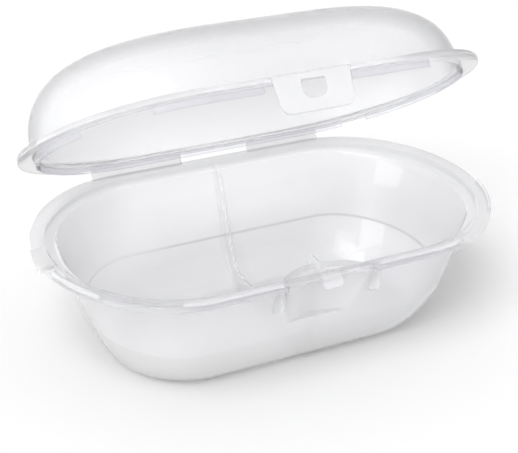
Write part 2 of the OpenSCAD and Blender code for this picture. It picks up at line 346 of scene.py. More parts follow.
def make_object(name: str, surfaces: Iterable[Surface]) -> bpy.types.Object:
    """Makes one object, in metres and at the origin, from surfaces in millimetres.

    Args:
        name: Its name.
        surfaces: Its surfaces, all with the same marks.

    Returns:
        The object.
    """
    points: list[Array] = []
    marks: dict[Mark, list[Array]] = {}
    faces: list[list[int]] = []
    count = 0
    for surface in surfaces:
        good = surface.turned_out()
        faces += good.faces(count)
        points.append(good.points.reshape(-1, 3) * MM)
        count += len(points[-1])
        for mark, weights in good.marks.items():
            marks.setdefault(mark, []).append(weights.reshape(-1))
    mesh = bpy.data.meshes.new(name)
    mesh.from_pydata(np.concatenate(points), [], faces)
    mesh.polygons.foreach_set("use_smooth", np.ones(len(mesh.polygons), bool))
    mesh.set_sharp_from_angle(angle=SHARP_ANGLE)
    mesh.validate()
    for mark, parts in marks.items():
        layer = mesh.attributes.new(mark.value, "FLOAT", "POINT")
        layer.data.foreach_set("value", np.concatenate(parts).astype(np.float32))
    obj = bpy.data.objects.new(name, mesh)
    bpy.context.scene.collection.objects.link(obj)
    return obj


# ------------------------ sizes that the parts share


@dataclass(frozen=True)
class Case:
    """Sizes that tray, lid, latch and hinge share."""

    rim: Outline
    tray_height: float
    hinge_y: float
    hinge_z: float
    lid_open: float
    flange: float = 1.3
    gap: float = 1.0  # between the flanges when shut
    wall: float = 1.0
    free: float = 0.3  # play of the skirt in the mouth
    mouth_in: float = 3.7
    mouth_short: float = 3.2

    @staticmethod
    def from_frame(straight: float) -> "Case":
        """Reads the rim, the tray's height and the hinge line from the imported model.

        Args:
            straight: Half of the rim's straight stretch.

        Returns:
            The sizes.
        """
        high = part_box("base_rim")[1]
        hinge = next(j for j in frame["joints"] if j["name"] == "lid_hinge")
        return Case(
            rim=Outline(high.x / MM, high.y / MM, straight),
            tray_height=high.z / MM,
            hinge_y=hinge["pos_m"][1] / MM,
            hinge_z=hinge["pos_m"][2] / MM,
            lid_open=-hinge["range_deg"][0],
        )

    @property
    def mouth(self) -> Outline:
        """Inside of the tray's mouth."""
        return Outline(self.rim.a - self.mouth_in, self.rim.b - self.mouth_in, self.rim.s - self.mouth_short)

    @property
    def skirt(self) -> Outline:
        """Outside of the lid's skirt, which drops into the mouth."""
        return self.mouth.grown(-self.free)

    @property
    def lid_base(self) -> float:
        """Height of the lid's flange over the floor when the lid is shut."""
        return self.tray_height + self.gap

    @property
    def lid_top(self) -> float:
        """Height of the top of the lid's flange when the lid is shut."""
        return self.lid_base + self.flange

    def opened(self, points: Array) -> Array:
        """Turns points of the shut lid about the hinge line to where the lid stands open.

        With c and s the cosine and sine of the opening, y' = Y + c (y - Y) + s (z - Z) and
        z' = Z - s (y - Y) + c (z - Z), where Y and Z are the hinge line's.

        Args:
            points: Points of the shut lid.

        Returns:
            The same points, turned.
        """
        angle = math.radians(self.lid_open)
        c, s = math.cos(angle), math.sin(angle)
        y, z = points[..., 1] - self.hinge_y, points[..., 2] - self.hinge_z
        return np.stack([points[..., 0], self.hinge_y + c * y + s * z, self.hinge_z - s * y + c * z], -1)


# ------------------------ finishes


class Wiring:
    """Short ways to add nodes to a node tree and join them.

    Wherever a value is fed, a number, a colour or the output of another node will do.
    """

    def __init__(self, tree: bpy.types.NodeTree) -> None:
        """Works on the given tree."""
        self.nodes, self.links = tree.nodes, tree.links

    def feed(self, node: bpy.types.Node, sockets: Sockets) -> None:
        """Sets or joins a node's inputs.

        Args:
            node: The node.
            sockets: What each input gets, by its name or number.
        """
        for name, value in sockets.items():
            if isinstance(value, Socket):
                self.links.new(value, node.inputs[name])
            else:
                node.inputs[name].default_value = value

    def add(self, kind: str, sockets: Sockets | None = None, **settings: object) -> bpy.types.Node:
        """Adds a node.

        Args:
            kind: Its type, after the word ShaderNode.
            sockets: What its inputs get.
            settings: Its own settings.

        Returns:
            The node.
        """
        node = self.nodes.new("ShaderNode" + kind)
        for name, value in settings.items():
            setattr(node, name, value)
        self.feed(node, sockets or {})
        return node

    def math(self, operation: str, *values: Feed) -> Socket:
        """Output of a Math node that works on the values."""
        return self.add("Math", dict(enumerate(values)), operation=operation).outputs[0]

    def spread(self, value: Feed, low: Feed, high: Feed, start: float = 0.0, end: float = 1.0) -> Socket:
        """Output of a Map Range node that runs from low to high as value goes from start to end."""
        sockets = {"Value": value, "From Min": start, "From Max": end, "To Min": low, "To Max": high}
        return self.add("MapRange", sockets).outputs["Result"]

    def mix(self, share: Feed, a: Feed, b: Feed, blend: str = "MIX") -> Socket:
        """Output of a colour Mix node from a to b, or from a to a times b, by share."""
        sockets = {"Factor": share, "A": a, "B": b}
        return self.add("Mix", sockets, data_type="RGBA", blend_type=blend).outputs["Result"]

    def mark(self, mark: Mark) -> Socket:
        """Output of an Attribute node that reads a mark of the mesh, 0 where it has none."""
        return self.add("Attribute", attribute_name=mark.value).outputs["Fac"]


def haze_group() -> bpy.types.ShaderNodeTree:
    """Shader group of the faint clouding in moulded polypropylene.

    Large soft noise is the flow of the melt, and fine noise is the grain of the mould.

    Returns:
        Group with inputs Scale and Strength, and outputs Cloud (a mask round 0.5) and Normal.
    """
    found = bpy.data.node_groups.get("moulding_haze")
    if found:
        return found
    group = bpy.data.node_groups.new("moulding_haze", "ShaderNodeTree")
    face = group.interface
    for name in ("Scale", "Strength"):
        face.new_socket(name, in_out="INPUT", socket_type="NodeSocketFloat")
    face.new_socket("Cloud", in_out="OUTPUT", socket_type="NodeSocketFloat")
    face.new_socket("Normal", in_out="OUTPUT", socket_type="NodeSocketVector")
    wiring = Wiring(group)
    given = wiring.nodes.new("NodeGroupInput").outputs
    where = wiring.add("TexCoord").outputs["Object"]
    melt = {"Vector": where, "Scale": given["Scale"], "Detail": 3.0, "Roughness": 0.45}
    flow = wiring.add("TexNoise", melt).outputs["Fac"]
    grain = wiring.add("TexNoise", {"Vector": where, "Scale": GRAIN_SCALE, "Detail": 2.0}).outputs["Fac"]
    bump = wiring.add("Bump", {"Strength": given["Strength"], "Distance": GRAIN_DEPTH, "Height": grain})
    result = {"Cloud": flow, "Normal": bump.outputs["Normal"]}
    wiring.feed(wiring.nodes.new("NodeGroupOutput"), result)
    return group


@dataclass(frozen=True)
class ClearPlastic:
    """Clear polypropylene with a little milk in it: most light goes through, some scatters."""

    name: str
    light: Point
    dark: Point
    clearness: float
    rough: tuple[float, float]  # where the clouding is at its strongest and at its weakest
    grain: float
    flow_scale: float = 45.0
    cloud_low: float = 0.3
    cloud_high: float = 0.7
    ior: float = 1.12
    coat: float = 0.8
    coat_rough: float = 0.06
    coat_ior: float = 1.49
    rim_shade: float = 0.85
    rim_blend: float = 0.12
    rim_start: float = 0.13
    rim_full: float = 0.32
    shadow: float = 0.65
    shadow_slant: float = 0.85
    dimming: float = 0.22
    # how dark the painted shade gets
    painted_shade_depth: float = 0.3
    # colour that the painted light lightens towards
    milk: Point = (0.995, 0.995, 1.0)
    frosting: float = 0.28
    release: float = 0.0
    release_start: float = 0.64
    release_full: float = 0.76

    def tint(self, wiring: Wiring, cloud: Socket, bounced: Socket) -> Socket:
        """Adds the nodes of the base colour.

        It runs from dark to light with the clouding, towards black by the mark of painted shade
        and towards a near-white by the mark of painted light. At a slant, where light has further to go
        through the wall, it is multiplied by rim_shade, less so by the mark EVEN. Scattered
        light that meets the outer face again finds it only dimming times as bright.

        Args:
            wiring: Where the nodes go.
            cloud: The clouding.
            bounced: 1 for such scattered light.

        Returns:
            The colour.
        """
        clouded = wiring.mix(cloud, (*self.dark, 1), (*self.light, 1))
        # painted shade towards black, then painted light towards a near-white
        painted_shade_share = wiring.math("MULTIPLY", wiring.mark(Mark.PAINTED_SHADE), self.painted_shade_depth)
        with_painted_shade = wiring.mix(painted_shade_share, clouded, (0.0, 0.0, 0.0, 1))
        milky = wiring.mix(wiring.mark(Mark.PAINTED_LIGHT), with_painted_shade, (*self.milk, 1))
        slant = wiring.add("LayerWeight", {"Blend": self.rim_blend}).outputs["Facing"]
        steep = wiring.spread(slant, 0.0, 1.0, self.rim_start, self.rim_full)
        uneven = wiring.math("SUBTRACT", 1.0, wiring.mark(Mark.EVEN))
        shade = (self.rim_shade, self.rim_shade, self.rim_shade, 1)
        shaded = wiring.mix(wiring.math("MULTIPLY", steep, uneven), milky, shade, "MULTIPLY")
        scale = wiring.spread(bounced, 1.0, self.dimming)
        return wiring.add("VectorMath", {0: shaded, "Scale": scale}, operation="SCALE").outputs["Vector"]

    def opacity(self, wiring: Wiring, outer: Socket, inner: Socket, shadow_ray: Socket) -> Socket:
        """Adds the nodes of the alpha.

        Shadow rays meet the outer face with the alpha `shadow`, or shadow_slant at a slant,
        and pass the inner face, so the case throws the light shadow of a clear thing. Of other
        rays that leave the wall at a very flat angle the share `release` passes, where a
        perfectly smooth wall would look black.

        Args:
            wiring: Where the nodes go.
            outer: 1 on the skin's outer face.
            inner: 1 on its inner face.
            shadow_ray: 1 for a shadow ray.

        Returns:
            The alpha.
        """
        slant = wiring.add("LayerWeight", {"Blend": 0.5}).outputs["Facing"]
        thick = wiring.spread(slant, self.shadow, max(self.shadow, self.shadow_slant))
        flat = wiring.spread(slant, 0.0, self.release, self.release_start, self.release_full)
        held = wiring.math("SUBTRACT", 1.0, wiring.math("MULTIPLY", flat, inner))
        return wiring.spread(shadow_ray, held, wiring.math("MULTIPLY", outer, thick))

    def material(self) -> bpy.types.Material:
        """The finish as nodes. Its roughness falls with the clouding and rises with FROST.

        Returns:
            The material, made once.
        """
        found = bpy.data.materials.get(self.name)
        if found:
            return found
        mat = bpy.data.materials.new(self.name)
        mat.use_nodes = True
        wiring = Wiring(mat.node_tree)
        given = {"Scale": self.flow_scale, "Strength": self.grain}
        haze = wiring.add("Group", given, node_tree=haze_group()).outputs
        path = wiring.add("LightPath").outputs
        inner = wiring.add("NewGeometry").outputs["Backfacing"]
        outer = wiring.math("SUBTRACT", 1.0, inner)
        bounced = wiring.math("MULTIPLY", outer, path["Is Diffuse Ray"])
        smooth = wiring.spread(haze["Cloud"], self.rough[1], self.rough[0], self.cloud_low, self.cloud_high)
        wiring.feed(wiring.nodes["Principled BSDF"], {
            "IOR": self.ior,
            "Transmission Weight": self.clearness,
            "Coat Weight": self.coat,
            "Coat Roughness": self.coat_rough,
            "Coat IOR": self.coat_ior,
            "Base Color": self.tint(wiring, haze["Cloud"], bounced),
            "Alpha": self.opacity(wiring, outer, inner, path["Is Shadow Ray"]),
            "Roughness": wiring.math("MULTIPLY_ADD", wiring.mark(Mark.FROST), self.frosting, smooth),
            "Normal": haze["Normal"],
        })
        return mat


@dataclass(frozen=True)
class Finishes:
    """The finishes of the case's parts."""

    tray: ClearPlastic = ClearPlastic(
        "clear_tray", (0.945, 0.945, 0.958), (0.915, 0.915, 0.933), 0.76, (0.05, 0.1), 0.02,
        shadow=0.98, rim_shade=0.95, ior=1.06, release=1.0,
    )
    lid: ClearPlastic = ClearPlastic(
        "clear_lid", (0.955, 0.955, 0.965), (0.935, 0.935, 0.95), 0.76, (0.05, 0.11), 0.02,
        shadow=0.15, rim_shade=0.6, dimming=0.8, coat=0.3, coat_rough=0.3,
    )
    rim: ClearPlastic = ClearPlastic(
        "milky_rim", (0.95, 0.95, 0.96), (0.92, 0.92, 0.935), 0.75, (0.1, 0.16), 0.02, ior=1.06,
    )
    latch: ClearPlastic = ClearPlastic(
        "frosted_latch", (0.85, 0.85, 0.86), (0.82, 0.82, 0.835), 0.4, (0.3, 0.4), 0.2,
    )
    divider: ClearPlastic = ClearPlastic(
        "thin_divider", (0.99, 0.99, 0.995), (0.98, 0.98, 0.985), 0.9, (0.06, 0.12), 0.02,
        shadow=0.2, rim_shade=0.97, ior=1.08, dimming=0.9,
    )
    nib: ClearPlastic = ClearPlastic(
        "frosted_nib", (0.93, 0.93, 0.93), (0.9, 0.9, 0.905), 0.55, (0.25, 0.35), 0.15, ior=1.06,
    )
    skirt: ClearPlastic = ClearPlastic(
        "clear_skirt", (0.9, 0.9, 0.93), (0.87, 0.87, 0.905), 0.88, (0.05, 0.1), 0.02,
        shadow=0.2, ior=1.06, dimming=0.8, coat=0.3,
    )
    hinge: ClearPlastic = ClearPlastic(
        "flexed_hinge", (0.96, 0.96, 0.965), (0.93, 0.93, 0.94), 0.8, (0.1, 0.18), 0.05,
        shadow=0.15, ior=1.06, dimming=0.9,
    )


@dataclass(frozen=True)
class Part:
    """What every sub-assembly has: the shared sizes and the finishes."""

    case: Case
    finishes: Finishes


def place(
    name: str,
    surfaces: Iterable[Surface],
    body: Body,
    finish: ClearPlastic,
    nodes: Sequence[str],
    bend: tuple[Point, Point] | None = None,
) -> None:
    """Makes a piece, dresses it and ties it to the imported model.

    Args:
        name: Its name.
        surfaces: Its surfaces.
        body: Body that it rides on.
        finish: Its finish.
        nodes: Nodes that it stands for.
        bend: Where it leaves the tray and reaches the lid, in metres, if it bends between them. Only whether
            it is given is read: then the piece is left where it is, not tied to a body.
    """
    obj = make_object(name, surfaces)
    obj.data.materials.append(finish.material())
    if bend:
        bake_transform(obj)
    else:
        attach(obj, body.value)
    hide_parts(*nodes)
    LOG.info("%s: %d vertices, stands for %s", obj.name, len(obj.data.vertices), ", ".join(nodes))


# ------------------------ stretches of a rim


def stretch(outline: Outline, start: Point, end: Point, step: float, radius: float) -> tuple[Array, Array]:
    """Stations along part of an outline, counter-clockwise, with a quarter round at both ends.

    The whole outline's stations are interpolated by their distance along it. Within `radius`
    of an end they lie radius (1 - cos t) from it, and the section's depth is radius sin t.

    Args:
        outline: The outline.
        start: Point near the start.
        end: Point near the end.
        step: Distance between stations.
        radius: Radius of the end roundings.

    Returns:
        Rows of p, q and r, and the section's depth at each.
    """
    arc, side = 720, 400
    once = stations(np.linspace(-1, 1, side + 1)[1:-1], arc, side)
    half = len(once)
    fine = np.concatenate([once, once, once[:1]])
    pts = loft(np.array([outline.row(0)]), fine)[0, :, :2]
    along = distances(pts)
    off = (np.linalg.norm(pts[:half] - np.array(near), axis=1) for near in (start, end))
    first, last = (int(np.argmin(far)) for far in off)
    last += half if last <= first else 0
    length = along[last] - along[first]
    inset, depth = edge_rounding(radius)
    middle = np.linspace(radius, length - radius, max(3, int(length / step)))[1:-1]
    at = along[first] + np.concatenate([inset, middle, (length - inset)[::-1]])
    around = np.stack([np.interp(at, along, fine[:, i]) for i in range(3)], 1)
    return around, np.concatenate([depth, np.full(len(middle), radius), depth[::-1]])


def strip(
    outline: Outline, low: Point, high: Point, start: Point, end: Point, radius: float, step: float = 1.0
) -> Array:
    """A rounded rectangular section carried along part of an outline, counter-clockwise.

    Args:
        outline: Outline that offsets are counted from.
        low: Smallest offset and height.
        high: Largest offset and height.
        start: Point near the start.
        end: Point near the end.
        radius: Radius of its edges.
        step: Distance between its sections.

    Returns:
        Grid of points, one line for each section.
    """
    box = [(low[0], low[1]), (high[0], low[1]), (high[0], high[1]), (low[0], high[1])]
    around, depth = stretch(outline, start, end, step, radius)
    g, z = np.moveaxis(Rounded.from_polygon(box, radius, steps=3).at(depth), 2, 0)
    p, q, r = (around[:, i : i + 1] for i in range(3))
    x = p * outline.s + q * (outline.a + g - outline.s)
    return np.stack([x, r * (outline.b + g), z], 2)


def clip_front(points: Array, half: float, limit: float) -> Array:
    """Holds back to y = -limit what reaches further to the front within half of the middle."""
    y = np.where(np.abs(points[..., 0]) < half, np.maximum(points[..., 1], -limit), points[..., 1])
    return np.stack([points[..., 0], y, points[..., 2]], -1)


# ------------------------ tray


@dataclass(frozen=True)
class TrayMarks:
    """How strong the tray's marks are and where they run. A pair is the start and the run of a
    ramp(), in millimetres."""

    # painted shade: a fixed weight on flange and seat, a line on the crease, more at the ends and the back
    # wall's left
    line: float = 0.45
    flange_edge: float = 0.4  # how far under the flange its painted shade and the skin's frost start
    seat_edge: float = 0.6
    crease_drop: float = 0.1
    crease_half: float = 0.3
    crease_least: float = 0.4
    crease_to_back: Point = (-12.0, 12.0)
    crease_to_right: Point = (-36.0, 30.0)
    ends: float = 0.36
    ends_outwards: Point = (28.0, 30.0)
    ends_upwards: Point = (9.0, 10.0)
    back: float = 0.17
    back_to_back: Point = (0.0, 15.0)
    back_upwards: Point = (13.0, 8.0)
    back_to_left: Point = (37.5, -50.0)
    frost_run: float = -1.5
    # painted light on the front wall, at its left and further right low down
    painted_light_further: float = 24.0
    painted_light_low: Point = (14.0, -10.0)
    painted_light_to_left: Point = (24.0, -30.0)
    painted_light_to_front: Point = (0.0, -10.0)
    painted_light_inside: Point = (22.0, -8.0)


@dataclass(frozen=True)
class Tray(Part):
    """The deep tray with its flange and finger recess."""

    marks: TrayMarks = TrayMarks()
    seat_depth: float = 1.6
    end_ledge: float = 3.5
    side_ledge: float = 0.6
    ledge_drop: float = 1.2
    wall_lean: float = 0.34
    wall_short: float = 4.6
    crease_height: float = 13.6
    crease_short: float = 1.1
    crease_step: float = 0.45
    crease_over: float = 0.35  # where the step starts over the crease, and ends under it
    crease_under: float = 0.3
    crease_round: float = 0.1
    bowl_lean: float = 0.4
    bowl_top: float = 0.985
    floor_short: float = 8.2
    foot_run_end: float = 2.0
    foot_run_side: float = 4.5
    recess_half: float = 12.5
    recess_deep: float = 9.6
    recess_rise: float = 5.0
    recess_blend: float = 0.9
    shelf: float = 1.4
    step_in: float = 1.3
    push: float = 6.0  # counts as a length in the profile's fillets
    inner_round: float = 2.4
    outer_round: float = 0.8
    bowl_steps: int = 18
    wall_steps: int = 7
    front_dense: float = 0.62
    front_counts: tuple[int, int] = (7, 97)  # points beside and in the denser middle of the front

    @property
    def seat(self) -> float:
        """Height of the seat inside the mouth."""
        return self.case.tray_height - self.seat_depth

    @property
    def flange_base(self) -> float:
        """Height of the flange's underside."""
        return self.case.tray_height - self.case.flange

    @property
    def wall_top(self) -> float:
        """Height at which the leaning wall starts, under the ledge."""
        return self.seat - self.ledge_drop

    @property
    def wall_head(self) -> Outline:
        """Inside of the wall under the ledge."""
        mouth = self.case.mouth
        return Outline(mouth.a - self.end_ledge, mouth.b - self.side_ledge, self.case.rim.s - self.wall_short)

    @property
    def recess_foot(self) -> float:
        """Height of the finger recess's floor."""
        return self.crease_height + self.recess_rise

    def wall_at(self, z: float) -> Outline:
        """Inside of the wall, which comes in and grows straighter evenly from the ledge down.

        Args:
            z: Height over the floor.

        Returns:
            The outline.
        """
        head, rise = self.wall_head, self.wall_top - self.crease_height
        t = (self.wall_top - z) / rise
        inward = self.wall_lean * rise * t
        short = (self.case.rim.s - self.crease_short - head.s) * t
        return Outline(head.a - inward, head.b - inward, head.s + short)

    def bowl_at(self, t: float) -> Outline:
        """Inside of the bowl under the crease.

        With u = 1 - t it has come in by bowl_lean * crease_height * (1 - t^2) and by the
        foot's run times u^2, so that it leaves the floor level.

        Args:
            t: Step from 0 at the floor to 1 at the crease.

        Returns:
            The outline.
        """
        crease, u = self.wall_at(self.crease_height), 1 - t
        inward = self.bowl_lean * self.crease_height * (1 - t * t)
        floor_s = self.case.rim.s - self.floor_short
        return Outline(
            crease.a - inward - self.foot_run_end * u * u,
            crease.b - inward - self.foot_run_side * u * u,
            crease.s + (floor_s - crease.s) * u,
        )

    def bowl_rows(self, grow: float, low: float) -> list[list[float]]:
        """Profile rows of the bowl, grown by grow, from its floor at low to under the crease."""
        steps, rise = np.linspace(0, self.bowl_top, self.bowl_steps), self.crease_height - low
        return [self.bowl_at(t).grown(grow).row(low + rise * t * t) for t in steps]

    def wall_rows(self, grow: float, foot: float, top: float) -> list[list[float]]:
        """Profile rows of the wall, with the finger recess's push between foot and top.

        Args:
            grow: How far they lie outside the inner face.
            foot: Height where the recess starts.
            top: Height where it ends.

        Returns:
            The rows, lowest first.
        """
        plain = [self.wall_at(z).grown(grow).row(z) for z in (self.crease_height, foot)]
        heights = np.linspace(foot, min(top, self.wall_top), self.wall_steps).tolist()
        return plain + [self.wall_at(z).grown(grow).row(z, self.push) for z in heights]

    def recessed(self, grid: Array, push: Array, grow: float) -> Array:
        """Pushes the front of the wall in to the finger recess.

        The recess is y = -b + d sqrt(1 - (x/h)^2), with h and d its half width and depth. The
        wall moves to the larger of the two y, by the share of push that the row has.

        Args:
            grid: Points of the wall.
            push: Push of each row.
            grow: How far the recess is grown, on the inside of the tray.

        Returns:
            The points with the recess.
        """
        x, y = grid[..., 0], grid[..., 1]
        inside = np.clip(1 - (x / (self.recess_half + grow)) ** 2, 0, None)
        recess = -self.case.rim.b + (self.recess_deep + grow) * np.sqrt(inside)
        pushed = np.where(y < 0, smooth_max(y, recess, self.recess_blend), y)
        return np.stack([x, y + (push / self.push)[:, None] * (pushed - y), grid[..., 2]], 2)

    def painted_shade(self, out: Array, inn: Array) -> Array:
        """Painted shade on the shell: where it is drawn darker.

        It is the largest of three, all painted shade: a fixed weight from the flange down to the
        seat; 1 on the crease, fading to the front and to the left; and a weight that grows to the
        ends and upwards. The back wall's left has more of it, up to the fixed weight.

        Args:
            out: Points of the outer skin.
            inn: Points of the inner skin.

        Returns:
            Weights for both.
        """
        m = self.marks
        fade = m.crease_least + (1 - m.crease_least) * ramp(inn[..., 0], *m.crease_to_right)
        on_crease = np.abs(inn[..., 2] - self.crease_height + m.crease_drop) < m.crease_half
        crease = on_crease * ramp(inn[..., 1], *m.crease_to_back) * fade
        flange = m.line * (out[..., 2] > self.flange_base - m.flange_edge)
        seat = m.line * (inn[..., 2] > self.seat - m.seat_edge)
        x, y, z = np.moveaxis(np.concatenate([out, inn]), 2, 0)
        ends = m.ends * ramp(np.abs(x), *m.ends_outwards) * ramp(z, *m.ends_upwards)
        dark = np.maximum(np.concatenate([flange, np.maximum(crease, seat)]), ends)
        back = m.back * ramp(y, *m.back_to_back) * ramp(z, *m.back_upwards) * ramp(x, *m.back_to_left)
        return np.minimum(dark + back, np.maximum(dark, m.line))

    def painted_light_share(self, skin: Array, upper: Point) -> Array:
        """Painted light on the front wall: at its left, and further right low down.

        Args:
            skin: Points of one skin.
            upper: Start and run of the ramp that ends it upwards.

        Returns:
            The weights.
        """
        m, (x, y, z) = self.marks, np.moveaxis(skin, 2, 0)
        side = ramp(x - m.painted_light_further * ramp(z, *m.painted_light_low), *m.painted_light_to_left)
        return side * ramp(y, *m.painted_light_to_front) * ramp(z, *upper)

    def profile(self) -> tuple[Array, Array]:
        """Profiles of the shell, from its underside's middle round the rim to the seat, and from
        there down the inside to its floor's middle.

        Returns:
            Rows of both.
        """
        case, wall = self.case, self.case.wall
        mouth, outer = case.mouth, case.mouth.grown(wall)
        over, under = self.crease_height + self.crease_over, self.crease_height - self.crease_under
        outside = self.bowl_rows(wall, 0.0)
        outside += self.wall_rows(wall, self.recess_foot, self.seat - self.shelf)
        outside += [
            self.wall_head.grown(wall).row(self.wall_top, fillet=self.outer_round),
            outer.row(self.seat - wall / 2),
            outer.row(self.flange_base),
            case.rim.row(self.flange_base),
            case.rim.row(case.tray_height),
            mouth.row(case.tray_height),
            mouth.row(self.seat),
        ]
        ledge, *walls = self.wall_rows(0.0, self.recess_foot - wall, self.wall_top)[:0:-1]
        inside = [mouth.row(self.seat, self.push), ledge[:-1] + [self.inner_round], *walls]
        inside += [
            self.wall_at(over).row(over, fillet=self.crease_round),
            self.wall_at(self.crease_height).row(self.crease_height, fillet=self.crease_round),
            self.bowl_at(1.0).grown(-self.crease_step).row(under, fillet=self.crease_round),
        ]
        inside += self.bowl_rows(0.0, wall)[::-1]
        return filleted(outside), filleted([outside[-1]] + inside)[1:]

    def shell(self) -> Surface:
        """Tray and flange as one wall with two skins.

        Returns:
            The wall, with its marks.
        """
        upper = (self.flange_base - self.marks.flange_edge, self.marks.frost_run)
        around = stations(front_steps(self.front_dense, *self.front_counts))
        rows_out, rows_in = self.profile()
        out = self.recessed(loft(rows_out, around), rows_out[:, 4], 0.0)
        inn = self.recessed(loft(rows_in, around), rows_in[:, 4], self.case.wall)
        skins = ((out, upper), (inn, self.marks.painted_light_inside))
        # painted shade, frost on the outer skin, and painted light on the front wall
        marks = {
            Mark.PAINTED_SHADE: self.painted_shade(out, inn),
            Mark.FROST: np.concatenate([ramp(out[..., 2], *upper), np.zeros(inn.shape[:2])]),
            Mark.PAINTED_LIGHT: np.concatenate([self.painted_light_share(*skin) for skin in skins]),
        }
        limit = self.case.rim.b - self.step_in
        return Surface(clip_front(np.concatenate([out, inn]), self.recess_half, limit), marks=marks)

    def build(self) -> None:
        """Makes the shell."""
        nodes = ["base_tray", "base_rim"]
        place("tray_shell", [self.shell()], Body.TRAY, self.finishes.tray, nodes)


@dataclass(frozen=True)
class RimTrim(Part):
    """What stands on the tray's flange: a bead on either side of the latch, a lip at the front
    of each end, and the nib at the left end that the halves are parted by."""

    sunk: float = 0.2
    rise: float = 0.9
    bead_offsets: Point = (-2.1, -0.5)
    bead_from: float = 13.3
    bead_to: float = 39.6
    bead_round: float = 0.3
    lip_offsets: Point = (-0.9, 0.0)
    lip_front: Point = (55.5, -23.5)
    lip_back: Point = (62.5, -8.0)
    lip_round: float = 0.25
    nib_corners: tuple[Point, ...] = ((-1.0, -5.0), (-1.2, -4.4), (-0.1, 5.2), (2.8, 4.7), (2.8, -4.6))
    nib_thick: float = 1.2
    nib_rise: float = 0.35
    nib_round: float = 0.25

    def pair(self, offsets: Point, near: Point, far: Point, radius: float) -> list[Surface]:
        """A strip that stands on the flange's right half, and its mirror image on the left.

        Args:
            offsets: Its inner and outer offset from the rim.
            near: Point near the right one's start.
            far: Point near its end.
            radius: Radius of its edges.

        Returns:
            The left and the right strip.
        """
        low, high = ((g, self.case.tray_height + z) for g, z in zip(offsets, (-self.sunk, self.rise)))
        runs = (((-far[0], far[1]), (-near[0], near[1])), (near, far))
        return [Surface(strip(self.case.rim, low, high, start, end, radius)) for start, end in runs]

    def nib(self) -> Surface:
        """Wedge that is narrow at the back and wide at the front.

        Returns:
            The wedge.
        """
        rim, top = self.case.rim, self.case.tray_height
        shape = Rounded.from_polygon([(x - rim.a, y) for x, y in self.nib_corners], self.nib_round)
        return prism(shape, top - self.nib_thick, top + self.nib_rise, self.nib_round, upright=True)

    def build(self) -> None:
        """Makes the beads, the lips and the nib."""
        front, rim = -self.case.rim.b, self.finishes.rim
        beads = self.pair(self.bead_offsets, (self.bead_from, front), (self.bead_to, front), self.bead_round)
        lips = self.pair(self.lip_offsets, self.lip_front, self.lip_back, self.lip_round)
        place("front_beads", beads, Body.TRAY, rim, ["rim_beads_front"])
        place("end_lips", lips, Body.TRAY, rim, ["rim_lips_end"])
        place("finger_nib", [self.nib()], Body.TRAY, self.finishes.nib, ["grip_nib"])


